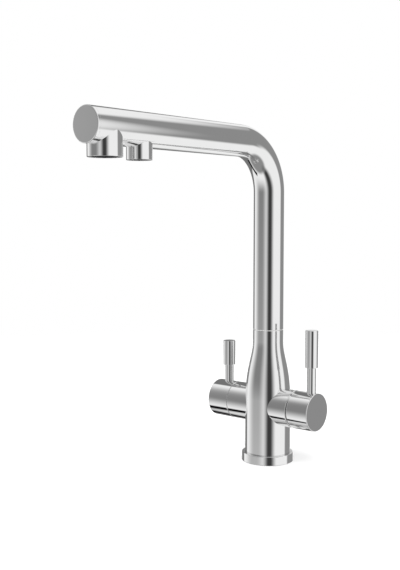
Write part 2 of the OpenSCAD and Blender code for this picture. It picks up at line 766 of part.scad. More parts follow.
module spout_tube() color("silver") difference() {
  spout_run(pipe_r, spout_z, end_disc_y);
  spout_run(pipe_bore_r, spout_z - cut_over, end_disc_y + cut_over);
  difference() {
    ring(pipe_r + cut_over, pipe_r - seam_chamfer, spout_z - cut_over, spout_z + seam_chamfer);
    rotate_extrude() polygon([
      [0, spout_z - cut_over],
      [pipe_r - seam_chamfer - cut_over, spout_z - cut_over],
      [pipe_r + cut_over, spout_z + seam_chamfer + cut_over],
      [0, spout_z + seam_chamfer + cut_over]]);
  }
  post(main_seat_r, seat_z, spout_height, 0, -main_outlet_reach);
  post(filter_seat_r, seat_z, spout_height, 0, -filter_outlet_reach);
}

module spout_end_disc() color("silver") rotate([90, 0, 0]) translate([0, spout_height, 0]) {
  rotate_extrude() polygon(band(pipe_r, 0, end_disc_y, spout_reach, 0, end_chamfer));
  rotate_extrude() polygon(band(pipe_bore_r - seat_fit, pipe_bore_r - end_spigot_wall,
    end_disc_y - end_spigot_l, end_disc_y));
}

module spout_base_bush() color("goldenrod") difference() {
  union() {
    post(bush_r, socket_z, spout_z + cut_over);
    post(pipe_bore_r - seat_fit, spout_z, spout_z + bush_insert_l);
  }
  post(bush_bore_r, socket_z - cut_over, spout_z + bush_insert_l + cut_over);
  for (z = [spout_ring_low_z, spout_ring_high_z])
    ring(bush_r + cut_over, bush_r - ring_groove_depth, z - ring_groove_w / 2, z + ring_groove_w / 2);
  ring(bush_r + cut_over, bush_r - lock_groove_depth, lock_z - lock_groove_w / 2,
    lock_z + lock_groove_w / 2);
}

module spout_o_rings() color("dimgray")
  for (z = [spout_ring_low_z, spout_ring_high_z]) o_ring(bush_r - ring_section_r, z, ring_section_r);

module filter_inner_tube() color("lightgray") difference() {
  spout_run(inner_tube_r, inner_tube_z, filter_outlet_reach - elbow_r + elbow_socket_depth);
  spout_run(inner_tube_bore_r, inner_tube_z - cut_over, filter_outlet_reach);
}

module filter_outlet_elbow() color("goldenrod") difference() {
  union() {
    post(elbow_spigot_r, seat_z - washer_t, elbow_foot_z + cut_over, 0, -filter_outlet_reach);
    post(elbow_r, elbow_foot_z, spout_height + elbow_head, 0, -filter_outlet_reach);
  }
  post(elbow_bore_r, seat_z - washer_t - cut_over, spout_height, 0, -filter_outlet_reach);
  translate([0, -filter_outlet_reach, spout_height]) rotate([-90, 0, 0])
    cylinder(r = inner_tube_bore_r, h = elbow_r);
  translate([0, elbow_r - elbow_socket_depth - filter_outlet_reach, spout_height]) rotate([-90, 0, 0])
    cylinder(r = inner_tube_r + seat_fit, h = elbow_r);
}

// Outlet collar: a short tube cut to the arm's curve, with a bore for its insert and a seat above
module outlet_collar(r, bore_r, seat_r, bottom_z, reach) {
  difference() {
    ring(r, 0, bottom_z, spout_height, outlet_chamfer, 0, 0, -reach);
    translate([0, -reach - r - cut_over, spout_height]) rotate([-90, 0, 0])
      cylinder(r = pipe_r, h = 2 * (r + cut_over));
    post(bore_r + seat_fit, bottom_z - cut_over, seat_z, 0, -reach);
    post(seat_r, bottom_z, spout_height, 0, -reach);
  }
}

module main_outlet_collar() color("silver")
  outlet_collar(main_outlet_r, main_insert_r, main_seat_r, main_bottom_z, main_outlet_reach);
module filter_outlet_collar() color("silver")
  outlet_collar(filter_outlet_r, filter_insert_r, filter_seat_r, filter_bottom_z, filter_outlet_reach);

// Holes in rings about one middle hole, six more in each ring
module hole_rings(rings, r, z0, z1, reach, pitch) {
  post(r, z0, z1, 0, -reach);
  for (k = [1:rings - 1]) for (i = [0:6 * k - 1])
    post(r, z0, z1, k * pitch * cos(i * 60 / k), k * pitch * sin(i * 60 / k) - reach);
}

main_insert_z = main_bottom_z + insert_recess;
main_insert_top_z = seat_z - washer_t;
filter_insert_z = filter_bottom_z + insert_recess;
housing_bore_r = main_insert_r - housing_wall;

module main_aerator_housing() color("gray") difference() {
  ring(main_insert_r, housing_bore_r - housing_lip, main_insert_z, main_insert_top_z,
    0, 0, 0, -main_outlet_reach);
  post(housing_bore_r, main_insert_z + housing_lip, main_insert_top_z + cut_over,
    0, -main_outlet_reach);
}

module main_aerator_insert() color("darkslategray") difference() {
  post(housing_bore_r - seat_fit, main_insert_z + housing_lip, main_insert_top_z - screen_t,
    0, -main_outlet_reach);
  hole_rings(insert_rings, insert_hole_r, main_insert_z, main_insert_top_z, main_outlet_reach,
    aerator_hole_pitch);
}

module main_aerator_screen() color("lightgray") difference() {
  post(housing_bore_r - seat_fit, main_insert_top_z - screen_t, main_insert_top_z,
    0, -main_outlet_reach);
  hole_rings(screen_rings, screen_hole_r, main_insert_z, seat_z, main_outlet_reach, hole_pitch);
}

module main_aerator_washer() color("dimgray")
  ring(main_insert_r, main_seat_r, main_insert_top_z, seat_z, 0, 0, 0, -main_outlet_reach);

module filter_outlet_insert() color("darkslategray") difference() {
  post(filter_insert_r, filter_insert_z, main_insert_top_z, 0, -filter_outlet_reach);
  hole_rings(insert_rings, insert_hole_r, filter_insert_z - cut_over, seat_z, filter_outlet_reach,
    hole_pitch);
}

module filter_outlet_washer() color("dimgray")
  ring(filter_insert_r, filter_washer_bore_r, main_insert_top_z, seat_z, 0, 0, 0, -filter_outlet_reach);

base_flange();
base_seal();
body_shell();
valve_core();
core_o_rings();
filter_tube_o_ring();
mixer_valve_sleeve();
filter_valve_sleeve();
spout_glide_ring();
spout_locking_screw();
mixer_seal_plate();
mixer_fixed_disc();
mixer_cartridge_shell();
mixer_retaining_nut();
mixer_dome_cover();
mixer_carrier();
mixer_pivot_pin();
mixer_moving_disc();
mixer_rod();
mixer_cap();
mixer_lever_stem();
mixer_lever_grip();
mixer_grub_screw();
filter_valve_body();
filter_valve_seal();
filter_fixed_disc();
filter_moving_disc();
filter_spindle();
filter_spindle_o_ring();
filter_spindle_clip();
filter_cap();
filter_lever_stem();
filter_lever_grip();
filter_grub_screw();
spout_tube();
spout_end_disc();
spout_base_bush();
spout_o_rings();
filter_inner_tube();
filter_outlet_elbow();
main_outlet_collar();
filter_outlet_collar();
main_aerator_housing();
main_aerator_insert();
main_aerator_screen();
main_aerator_washer();
filter_outlet_insert();
filter_outlet_washer();
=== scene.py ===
"""Three way filtered water tap: the chrome skin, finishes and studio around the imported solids."""
import json
from math import acos, asin, atan2, ceil, cos, degrees, hypot, pi, radians, sin, tan

import bpy
import numpy as np
from bpy.props import FloatProperty, FloatVectorProperty, IntProperty, PointerProperty
from bpy.types import Operator, Panel, PropertyGroup
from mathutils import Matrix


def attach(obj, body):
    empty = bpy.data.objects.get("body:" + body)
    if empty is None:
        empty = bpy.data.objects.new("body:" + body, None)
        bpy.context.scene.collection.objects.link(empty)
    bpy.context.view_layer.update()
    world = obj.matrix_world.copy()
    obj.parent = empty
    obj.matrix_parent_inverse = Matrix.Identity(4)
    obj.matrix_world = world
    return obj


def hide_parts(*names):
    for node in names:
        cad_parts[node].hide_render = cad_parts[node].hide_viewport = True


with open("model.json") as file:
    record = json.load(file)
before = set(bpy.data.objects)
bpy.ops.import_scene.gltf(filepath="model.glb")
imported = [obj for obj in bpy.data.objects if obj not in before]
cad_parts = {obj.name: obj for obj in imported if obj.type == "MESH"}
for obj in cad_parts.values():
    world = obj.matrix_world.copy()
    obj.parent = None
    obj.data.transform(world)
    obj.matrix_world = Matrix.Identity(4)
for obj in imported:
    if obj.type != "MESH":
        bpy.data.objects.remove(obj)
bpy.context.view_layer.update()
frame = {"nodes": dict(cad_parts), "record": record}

bl_info = {
    "name": "Three Way Filtered Water Tap",
    "version": (1, 0, 0),
    "blender": (4, 5, 0),
    "location": "3D View > Sidebar > Tap",
    "description": "Builds the chrome surfaces, finishes and studio of a three way kitchen tap",
    "category": "Object",
}

MIXER = 1
FILTER = -1
FULL_TURN = 2 * pi
# How far the last point of a ring's profile stands from its first, which it closes on
CLOSING = 0.0001
# The longest row of faces along the spout tube, and the clearance in its collar of the black ring
# that is painted shade in the mixed outlet's mouth
TUBE_ROW = 0.0015
PAINTED_SHADE_RING_FIT = 0.00002


# ---------------------------------------------------------------- sizes and colours

def length(name, description, default):
    """A size in metres that the user may change."""
    return FloatProperty(name=name, description=description, default=default, precision=5,
                         unit="LENGTH", subtype="DISTANCE", min=0)


class SpoutSizes(PropertyGroup):
    """Sizes of the spout tube, its end disc and its two outlets."""
    tube_radius: length("Tube radius", "Outer radius of the spout tube", 0.015)
    tube_wall: length("Tube wall", "Wall thickness of the spout tube", 0.0015)
    foot: length("Foot", "Height of the tube's foot above the deck", 0.132)
    height: length("Height", "Height of the arm's centreline", 0.3145)
    reach: length("Reach", "Distance from the axis to the end face", 0.239)
    bend_radius: length("Bend radius", "Centreline radius of the bend", 0.048)
    disc_thickness: length("Disc thickness", "Thickness of the disc that closes the end", 0.003)
    disc_edge: length("Disc edge", "Radius of the disc's polished edge", 0.0008)
    seam_edge: length("Seam edge", "Radius of the edges at the seams", 0.0004)
    main_reach: length("Main reach", "Distance from the axis to the mixed outlet", 0.2184)
    main_radius: length("Main radius", "Outer radius of the mixed outlet", 0.0145)
    main_bore: length("Main bore", "Bore radius of the mixed outlet", 0.01205)
    main_drop: length("Main drop", "How far the mixed outlet hangs below the tube", 0.0095)
    filter_reach: length("Filter reach", "Distance from the axis to the filtered outlet", 0.1797)
    filter_radius: length("Filter radius", "Outer radius of the filtered outlet", 0.011)
    filter_bore: length("Filter bore", "Bore radius of the filtered outlet", 0.00785)
    filter_drop: length("Filter drop", "How far the filtered outlet hangs below the tube", 0.010)
    # painted shade: the black ring inside the mixed outlet's mouth stands for the shade in its
    # recess
    painted_shade_ring_wall: length("Painted shade ring wall", "Wall of the black ring of painted shade in the mixed outlet", 0.0012)
    painted_shade_ring_inset: length("Painted shade ring inset", "From the mixed outlet's mouth to its black ring of painted shade", 0.0003)
    insert_inset: length("Insert inset", "From the mixed outlet's mouth to its insert", 0.0015)
    outlet_edge: length("Outlet edge", "Radius of the outlets' lower edges", 0.0004)


class BodySizes(PropertyGroup):
    """Sizes of the bottle-shaped body and its base flange."""
    radius: length("Radius", "Outer radius of the body", 0.0225)
    wall: length("Wall", "Wall thickness of the body", 0.003)
    foot: length("Foot", "Height at which the body stands in the flange", 0.002)
    height: length("Height", "Height of the seam between the body and the spout", 0.1315)
    collar: length("Collar", "Height of the straight collar under the seam", 0.0115)
    neck: length("Neck", "Height of the sloping neck", 0.0567)
    shoulder: length("Shoulder", "Radius of the outward curve of the shoulder", 0.155)
    throat: length("Throat", "Radius of the inward curve of the throat", 0.055)
    seam_edge: length("Seam edge", "Radius of the edge at the seam", 0.0004)
    flange_radius: length("Flange radius", "Outer radius of the base flange", 0.0256)
    flange_height: length("Flange height", "Height of the base flange", 0.0087)
    flange_bore: length("Flange bore", "Bore radius of the flange's foot", 0.0195)
    flange_edge: length("Flange edge", "Radius of the flange's upper edge", 0.0007)


class HubSizes(PropertyGroup):
    """Sizes of one valve hub and its lever, measured from the body's axis or the hubs' axis."""
    radius: length("Radius", "Outer radius of the hub", 0.01845)
    axis_height: length("Axis height", "Height of the hub's axis above the deck", 0.0557)
    sleeve_start: length("Sleeve start", "Where the sleeve starts inside the body", 0.012)
    sleeve_end: length("Sleeve end", "Where the fixed sleeve ends at the seam", 0.0341)
    sleeve_bore: length("Sleeve bore", "Bore radius of the sleeve", 0.01495)
    sleeve_edge: length("Sleeve edge", "Radius of the sleeve's edge", 0.0009)
    rim: length("Rim", "Where the turning cap starts", 0.0353)
    rim_edge: length("Rim edge", "Radius of the cap's edge at the seam", 0.0006)
    face: length("Face", "Where the cap's end face stands", 0.0586)
    face_edge: length("Face edge", "Radius of the end face's polished edge", 0.0007)
    cap_bore: length("Cap bore", "Bore radius of the cap, clear of the sleeve as it tilts",
                     0.01732)
    cap_wall: length("Cap wall", "Thickness of the cap's end wall", 0.0033)
    lever: length("Lever", "Distance from the body's axis to the lever", 0.0519)
    lever_top: length("Lever top", "Height of the lever's top above the deck", 0.1346)
    grip_length: length("Grip length", "Length of the lever's grip", 0.0361)
    grip_radius: length("Grip radius", "Radius of the lever's grip", 0.0061)
    grip_edge: length("Grip edge", "Radius of the grip's edges", 0.0005)
    stem_radius: length("Stem radius", "Radius of the lever's stem", 0.0044)
    stem_root: length("Stem root", "Rise of the stem's hidden foot above the hub's axis", 0.012)


class Finish(PropertyGroup):
    """Colours and roughness of the finishes."""
    chrome: FloatVectorProperty(name="Chrome", description="Colour of the chrome plate",
                                subtype="COLOR", size=3, min=0, max=1, default=(0.83, 0.83, 0.83))
    chrome_roughness: FloatProperty(name="Chrome roughness", description="Blur of the chrome",
                                    default=0.03, min=0, max=1, subtype="FACTOR")
    brass: FloatVectorProperty(name="Brass", description="Colour of the machined brass",
                               subtype="COLOR", size=3, min=0, max=1, default=(0.78, 0.58, 0.30))
    steel: FloatVectorProperty(name="Steel", description="Colour of the machined steel",
                               subtype="COLOR", size=3, min=0, max=1, default=(0.62, 0.62, 0.63))
    rubber: FloatVectorProperty(name="Rubber", description="Colour of the seals",
                                subtype="COLOR", size=3, min=0, max=1, default=(0.03, 0.03, 0.03))
    ceramic: FloatVectorProperty(name="Ceramic", description="Colour of the valve discs",
                                 subtype="COLOR", size=3, min=0, max=1, default=(0.86, 0.85, 0.81))
    white: FloatVectorProperty(name="White plastic", description="Colour of the pale mouldings",
                               subtype="COLOR", size=3, min=0, max=1, default=(0.82, 0.82, 0.81))
    black: FloatVectorProperty(name="Black plastic", description="Colour of the outlet inserts",
                               subtype="COLOR", size=3, min=0, max=1,
                               default=(0.025, 0.025, 0.028))


class TapSettings(PropertyGroup):
    """Everything that a user of the tap would change."""
    segments: IntProperty(name="Segments", description="Faces round each turned piece",
                          default=144, min=24, max=512)
    spout: PointerProperty(name="Spout", description="Spout sizes", type=SpoutSizes)
    body: PointerProperty(name="Body", description="Body sizes", type=BodySizes)
    mixer: PointerProperty(name="Mixer hub", description="Mixer hub sizes", type=HubSizes)
    filter: PointerProperty(name="Filter hub", description="Filter hub sizes", type=HubSizes)
    finish: PointerProperty(name="Finish", description="Finishes", type=Finish)


# ---------------------------------------------------------------- surfaces

def outline(corners, arc_step=radians(6), longest=1.0):
    """Rows of a profile: straight runs between corners, each corner rounded by a circle.

    corners holds rows of (s, r, rounding), with s along the path and r away from it. At a corner
    with unit directions u before and v after, turning by an angle T with rounding f, the arc starts
    f tan(T/2) before the corner and is P + f (u sin a + n (1 - cos a)) for a from 0 to T, where n
    is the unit vector across u on v's side. The tangent is u cos a + n sin a. Returns the points
    and the tangents as two arrays of (s, r) rows.
    """
    corners = np.array(corners, float)
    spots, rounding = corners[:, :2], corners[:, 2]
    runs = np.diff(spots, axis=0)
    directions = runs / np.linalg.norm(runs, axis=1)[:, None]
    points, tangents = [spots[:1]], [directions[:1]]
    for spot, f, u, v in zip(spots[1:-1], rounding[1:-1], directions[:-1], directions[1:]):
        turn = acos(max(-1.0, min(1.0, float(u @ v))))
        n = v - u * (u @ v)
        n = n / max(np.linalg.norm(n), 1e-12)
        a = np.linspace(0, turn, max(2, ceil(turn / arc_step) + 1))[:, None]
        points.append(spot - u * f * tan(turn / 2) + f * (u * np.sin(a) + n * (1 - np.cos(a))))
        tangents.append(u * np.cos(a) + n * np.sin(a))
    points, tangents = np.vstack(points + [spots[-1:]]), np.vstack(tangents + [directions[-1:]])
    return refined(points, tangents, longest)


def refined(points, tangents, longest):
    """Adds rows by straight interpolation so that no run is longer than the given length."""
    gaps = np.linalg.norm(np.diff(points, axis=0), axis=1)
    counts = np.maximum(1, np.ceil(gaps / longest - 1e-9)).astype(int)
    start = np.repeat(np.arange(len(gaps)), counts)
    first = np.repeat(np.cumsum(counts) - counts, counts)
    share = ((np.arange(counts.sum()) - first) / np.repeat(counts, counts))[:, None]
    mixed = [np.vstack([rows[start] * (1 - share) + rows[start + 1] * share, rows[-1:]])
             for rows in (points, tangents)]
    return mixed[0], mixed[1] / np.linalg.norm(mixed[1], axis=1)[:, None]


def straight(origin, e1, e2):
    """A straight path: the point at s is origin + s T, with T = e1 x e2."""
    origin, e1, e2 = np.array(origin, float), np.array(e1, float), np.array(e2, float)
    along = np.cross(e1, e2)

    def at(s):
        ones = np.ones((len(s), 1))
        return origin + s[:, None] * along, ones * e1, ones * e2, ones * along
    return at


def bent(sizes):
    """The spout's path: up the riser, round a quarter circle of the bend's radius, out along -Y.

    At an angle a round the bend the point is (0, -R (1 - cos a), top - R + R sin a), the direction
    is (0, -sin a, cos a), and the sideways vectors are X and (0, cos a, sin a).
    """
    rise = sizes.height - sizes.bend_radius - sizes.foot
    arc = sizes.bend_radius * pi / 2

    def at(s):
        a = np.clip((s - rise) / sizes.bend_radius, 0, pi / 2)
        up = np.minimum(s, rise)
        out = np.maximum(s - rise - arc, 0)
        none = np.zeros(len(s))
        centre = np.stack([none, -sizes.bend_radius * (1 - np.cos(a)) - out,
                           sizes.foot + up + sizes.bend_radius * np.sin(a)], 1)
        along = np.stack([none, -np.sin(a), np.cos(a)], 1)
        e2 = np.stack([none, np.cos(a), np.sin(a)], 1)
        return centre, np.stack([none + 1, none, none], 1), e2, along
    return at


def carried(name, profile, path, around):
    """A closed surface made by turning a profile about a path.

    The point at profile row (s, r) and angle p is C(s) + r (cos p e1 + sin p e2), and its normal is
    ts (cos p e1 + sin p e2) - tr T for a profile tangent of (ts, tr). A profile that starts and
    ends on the path closes in two poles, and any other closes on itself as a ring.
    """
    points, tangents = profile
    s, r = points.T
    poles = r[0] < 1e-9 and r[-1] < 1e-9
    angle = np.arange(around) * FULL_TURN / around
    centre, e1, e2, along = path(s)
    outward = (np.cos(angle)[None, :, None] * e1[:, None]
               + np.sin(angle)[None, :, None] * e2[:, None])
    place = centre[:, None] + r[:, None, None] * outward
    normal = tangents[:, 0, None, None] * outward - tangents[:, 1, None, None] * along[:, None]
    column = np.arange(around)
    following = (column + 1) % around
    if poles:
        grid_place, grid_normal = place[1:-1], normal[1:-1]
        rows = len(grid_place)
        vertices = np.vstack([grid_place.reshape(-1, 3), centre[:1], centre[-1:]])
        normals = np.vstack([grid_normal.reshape(-1, 3), -along[:1] * tangents[0, 1],
                             -along[-1:] * tangents[-1, 1]])
        first, last = rows * around, rows * around + 1
        fans = [np.stack([column * 0 + first, column, following], 1),
                np.stack([(rows - 1) * around + following, (rows - 1) * around + column,
                          column * 0 + last], 1)]
        lower = np.arange(rows - 1)
        upper = lower + 1
    else:
        rows = len(place)
        vertices, normals = place.reshape(-1, 3), normal.reshape(-1, 3)
        fans = []
        lower = np.arange(rows)
        upper = (lower + 1) % rows
    low, high = lower[:, None] * around, upper[:, None] * around
    quads = np.stack([low + column, high + column, high + following, low + following], -1)
    return surface(name, vertices, [quads.reshape(-1, 4)] + fans, normals)


def surface(name, vertices, face_groups, normals):
    """Puts worked-out points, faces and normals into a new mesh object at the origin."""
    mesh = bpy.data.meshes.new(name)
    loops = np.concatenate([group[:, ::-1].ravel() for group in face_groups]).astype(np.int32)
    sides = np.concatenate([np.full(len(group), group.shape[1]) for group in face_groups])
    starts = np.cumsum(sides) - sides
    mesh.vertices.add(len(vertices))
    mesh.vertices.foreach_set("co", vertices.astype(np.float32).ravel())
    mesh.loops.add(len(loops))
    mesh.loops.foreach_set("vertex_index", loops)
    mesh.polygons.add(len(sides))
    mesh.polygons.foreach_set("loop_start", starts.astype(np.int32))
    mesh.polygons.foreach_set("use_smooth", np.ones(len(sides), bool))
    mesh.update(calc_edges=True)
    mesh.validate()
    unit = normals / np.linalg.norm(normals, axis=1)[:, None]
    mesh.normals_split_custom_set_from_vertices(unit.astype(np.float32))
    piece = bpy.data.objects.new(name, mesh)
    bpy.context.scene.collection.objects.link(piece)
    return piece


def belongs(piece, body, slot, material, *nodes):
    """Gives a piece its finish and its body, and hides the nodes that it stands for. The slot is
    not used.
    """
    piece.data.materials.append(material)
    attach(piece, body)
    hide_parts(*nodes)


def upright(x=0.0, y=0.0):
    """The path up a vertical axis through (x, y)."""
    return straight((x, y, 0), (1, 0, 0), (0, 1, 0))


def sideways(side, height):
    """The path along a hub's axis, outwards from the body's axis."""
    return straight((0, 0, height), (0, 1, 0), (0, 0, side))


# ---------------------------------------------------------------- shaders

class Value:
    """A shader socket in a Python expression: each operator adds a Math node and returns its
    output."""

    def __init__(self, tree, socket):
        self.tree = tree
        self.socket = socket

    def maths(self, operation, *others, clamp=False):
        return self.tree.add("Math", {"operation": operation, "use_clamp": clamp},
                             dict(enumerate((self,) + others)))

    def __add__(self, other):
        return self.maths("ADD", other)

    def __sub__(self, other):
        return self.maths("SUBTRACT", other)

    def __rsub__(self, other):
        return self.tree.add("Math", {"operation": "SUBTRACT"}, {0: other, 1: self})

    def __mul__(self, other):
        return self.maths("MULTIPLY", other)

    def __truediv__(self, other):
        return self.maths("DIVIDE", other)

    def __rtruediv__(self, other):
        return self.tree.add("Math", {"operation": "DIVIDE"}, {0: other, 1: self})

    def __neg__(self):
        return self * -1.0

    __radd__ = __add__
    __rmul__ = __mul__

    def smooth(self, low, high):
        """0 below low, 1 above high and a soft step between."""
        return self.tree.add("MapRange", {"interpolation_type": "SMOOTHSTEP"},
                             {"Value": self, "From Min": low, "From Max": high})


class Tree:
    """The node tree of a material or world, filled by one method."""

    def __init__(self, owner):
        owner.use_nodes = True
        self.nodes = owner.node_tree.nodes
        self.links = owner.node_tree.links
        self.nodes.clear()

    def add(self, kind, settings=None, sockets=None, output=0):
        """Adds a node with its settings first, then its sockets' values or links."""
        node = self.nodes.new("ShaderNode" + kind)
        for key, value in (settings or {}).items():
            setattr(node, key, value)
        for key, value in (sockets or {}).items():
            if isinstance(value, Value):
                self.links.new(value.socket, node.inputs[key])
            else:
                node.inputs[key].default_value = value
        return Value(self, node.outputs[output]) if node.outputs else node


def tinted(tree, colour, share):
    """A colour times a grey value, by a Mix node that multiplies."""
    grey = tree.add("CombineXYZ", {}, {0: share, 1: share, 2: share})
    return tree.add("Mix", {"data_type": "RGBA", "blend_type": "MULTIPLY"},
                    {0: 1.0, 6: (*colour, 1), 7: grey}, output=2)


def noise(tree, scale, detail=3.0, stretch=(1, 1, 1), distortion=0.0):
    """Noise on Object coordinates, with an optional stretch of each axis."""
    place = tree.add("TexCoord", output=3)
    mapped = tree.add("Mapping", {}, {"Vector": place, "Scale": stretch})
    return tree.add("TexNoise", {}, {"Vector": mapped, "Scale": scale, "Detail": detail,
                                     "Distortion": distortion})


def finished(name, colour, metallic, roughness, shade, rough, bump, height=0.0001,
             constants=None):
    """A Principled material from a shade, a roughness and a bump height, each a value or a link."""
    material = bpy.data.materials.new(name)
    tree = Tree(material)
    shade, rough, bump = (part(tree) for part in (shade, rough, bump))
    normal = tree.add("Bump", {}, {"Strength": 0.5, "Distance": height, "Height": bump})
    sockets = {"Base Color": tinted(tree, colour, shade), "Metallic": metallic,
               "Roughness": rough * 1.0 + roughness, "Normal": normal}
    sockets.update(constants or {})
    shader = tree.add("BsdfPrincipled", {}, sockets)
    tree.add("OutputMaterial", {}, {"Surface": shader})
    material.diffuse_color = (*colour, 1)
    return material


def chrome_finish(settings):
    """Chrome plate: bright, a little blurred, with faint wiping marks and a barely uneven skin."""
    finish = settings.finish
    return finished(
        "polished_chrome", finish.chrome, 1.0, finish.chrome_roughness,
        lambda t: 0.985 + 0.03 * noise(t, 55.0, 2.0),
        lambda t: 0.02 * noise(t, 130.0, 4.0, (1, 1, 0.35), 0.6) - 0.01,
        lambda t: noise(t, 90.0, 2.0), 0.000004)


def brass_finish(settings):
    """Machined brass: fine turning marks and a darker bloom in patches."""
    return finished(
        "machined_brass", settings.finish.brass, 1.0, 0.2,
        lambda t: 0.8 + 0.35 * noise(t, 140.0, 4.0),
        lambda t: 0.25 * noise(t, 600.0, 3.0, (1, 1, 6)),
        lambda t: noise(t, 900.0, 2.0, (1, 1, 8)), 0.00002)


def steel_finish(settings):
    """Stainless steel: fine turning marks and an even grey."""
    return finished(
        "machined_steel", settings.finish.steel, 1.0, 0.16,
        lambda t: 0.88 + 0.22 * noise(t, 220.0, 3.0),
        lambda t: 0.2 * noise(t, 900.0, 3.0, (1, 1, 5)),
        lambda t: noise(t, 1200.0, 2.0, (1, 1, 7)), 0.00001)


def rubber_finish(settings):
    """Seal rubber: matt, with a dusty bloom and a fine moulded grain."""
    return finished(
        "seal_rubber", settings.finish.rubber, 0.0, 0.55,
        lambda t: 0.7 + 0.8 * noise(t, 180.0, 4.0),
        lambda t: 0.3 * noise(t, 400.0, 3.0),
        lambda t: noise(t, 2500.0, 3.0), 0.00002)


def ceramic_finish(settings):
    """Lapped ceramic: pale and glossy with faint mottling."""
    return finished(
        "lapped_ceramic", settings.finish.ceramic, 0.0, 0.08,
        lambda t: 0.94 + 0.1 * noise(t, 320.0, 3.0),
        lambda t: 0.12 * noise(t, 500.0, 2.0),
        lambda t: noise(t, 1500.0, 2.0), 0.000004, {"Coat Weight": 0.3})


def white_finish(settings):
    """White moulding: soft sheen with a fine grain."""
    return finished(
        "white_moulding", settings.finish.white, 0.0, 0.3,
        lambda t: 0.93 + 0.1 * noise(t, 200.0, 3.0),
        lambda t: 0.2 * noise(t, 700.0, 3.0),
        lambda t: noise(t, 1800.0, 3.0), 0.00001)


def black_finish(settings):
    """Black moulding: satin with a fine grain."""
    return finished(
        "black_moulding", settings.finish.black, 0.0, 0.28,
        lambda t: 0.75 + 0.6 * noise(t, 260.0, 3.0),
        lambda t: 0.22 * noise(t, 600.0, 3.0),
        lambda t: noise(t, 2000.0, 3.0), 0.000015)


FINISHES = {"chrome": chrome_finish, "brass": brass_finish, "steel": steel_finish,
            "rubber": rubber_finish, "ceramic": ceramic_finish, "white_plastic": white_finish,
            "black_plastic": black_finish}
MADE_FINISHES = {}


def finish_of(slot):
    """The material of a slot, made when it is first asked for."""
    if slot not in MADE_FINISHES:
        MADE_FINISHES[slot] = FINISHES[slot](bpy.context.scene.tap)
    return MADE_FINISHES[slot]


# ---------------------------------------------------------------- pieces

class TapOperator(Operator):
    """Shared by the tap's operators."""
    bl_options = {"REGISTER", "UNDO"}

    def execute(self, context):
        self.make(context.scene.tap)
        return {"FINISHED"}


class TAP_OT_finishes(TapOperator):
    """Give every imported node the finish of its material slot"""
    bl_idname = "tap.finishes"
    bl_label = "Finishes"

    def make(self, tap):
        slots = {part["node"]: part["material_slot"] for part in frame["record"]["subparts"]}
        for node, slot in slots.items():
            mesh = frame["nodes"][node].data
            mesh.materials.clear()
            mesh.materials.append(finish_of(slot))


class TAP_OT_body(TapOperator):
    """Make the bottle-shaped body and its base flange"""
    bl_idname = "tap.body"
    bl_label = "Body and flange"

    def make(self, tap):
        size, spout = tap.body, tap.spout
        # Where the slopes of the body's side, the cone and the collar would meet without curves
        both = size.shoulder + size.throat
        narrowing = size.radius - spout.tube_radius
        slope = (asin(both / hypot(size.neck, both - narrowing))
                 - atan2(both - narrowing, size.neck))
        neck_top = size.height - size.collar
        shoulder_corner = neck_top - size.neck + size.shoulder * tan(slope / 2)
        throat_corner = neck_top - size.throat * tan(slope / 2)
        inside = size.radius - size.wall
        narrow_bore = spout.tube_radius - size.wall
        profile = outline([
            (size.foot, inside, 0), (size.foot, size.radius, 0.0002),
            (shoulder_corner, size.radius, size.shoulder),
            (throat_corner, spout.tube_radius, size.throat),
            (size.height, spout.tube_radius, size.seam_edge),
            (size.height, narrow_bore, 0.0002),
            (throat_corner - size.collar, narrow_bore, 0.002),
            (shoulder_corner, inside, 0.002),
            (size.foot + CLOSING, inside, 0)], radians(0.9), 0.02)
        body = carried("body_skin", profile, upright(), tap.segments)
        belongs(body, "body", "chrome", finish_of("chrome"), "body_shell")

        groove = size.radius + 0.00005
        ring = outline([
            (0, size.flange_bore, 0), (0, size.flange_radius, 0.0003),
            (size.flange_height, size.flange_radius, size.flange_edge),
            (size.flange_height, groove, 0.00025), (size.foot, groove, 0.0001),
            (size.foot, size.flange_bore, 0.0001), (CLOSING, size.flange_bore, 0)])
        flange = carried("flange_skin", ring, upright(), tap.segments)
        belongs(flange, "body", "chrome", finish_of("chrome"), "base_flange")


class TAP_OT_hubs(TapOperator):
    """Make the fixed sleeve and the turning cap of both valve hubs"""
    bl_idname = "tap.hubs"
    bl_label = "Valve hubs"

    def make(self, tap):
        for side, word, size, body in ((MIXER, "mixer", tap.mixer, "mixer_handle"),
                                       (FILTER, "filter", tap.filter, "filter_handle")):
            path = sideways(side, size.axis_height)
            sleeve = outline([
                (size.sleeve_start, size.sleeve_bore, 0), (size.sleeve_start, size.radius, 0.0003),
                (size.sleeve_end, size.radius, size.sleeve_edge),
                (size.sleeve_end, size.sleeve_bore, 0.0003),
                (size.sleeve_start + CLOSING, size.sleeve_bore, 0)])
            piece = carried(word + "_sleeve_skin", sleeve, path, tap.segments)
            belongs(piece, "body", "chrome", finish_of("chrome"), word + "_valve_sleeve")

            inner_wall = size.face - size.cap_wall
            cap = outline([
                (inner_wall, 0, 0), (inner_wall, size.cap_bore, 0.0005),
                (size.rim, size.cap_bore, 0.0003), (size.rim, size.radius, size.rim_edge),
                (size.face, size.radius, size.face_edge), (size.face, 0, 0)])
            piece = carried(word + "_cap_skin", cap, path, tap.segments)
            belongs(piece, body, "chrome", finish_of("chrome"), word + "_cap")


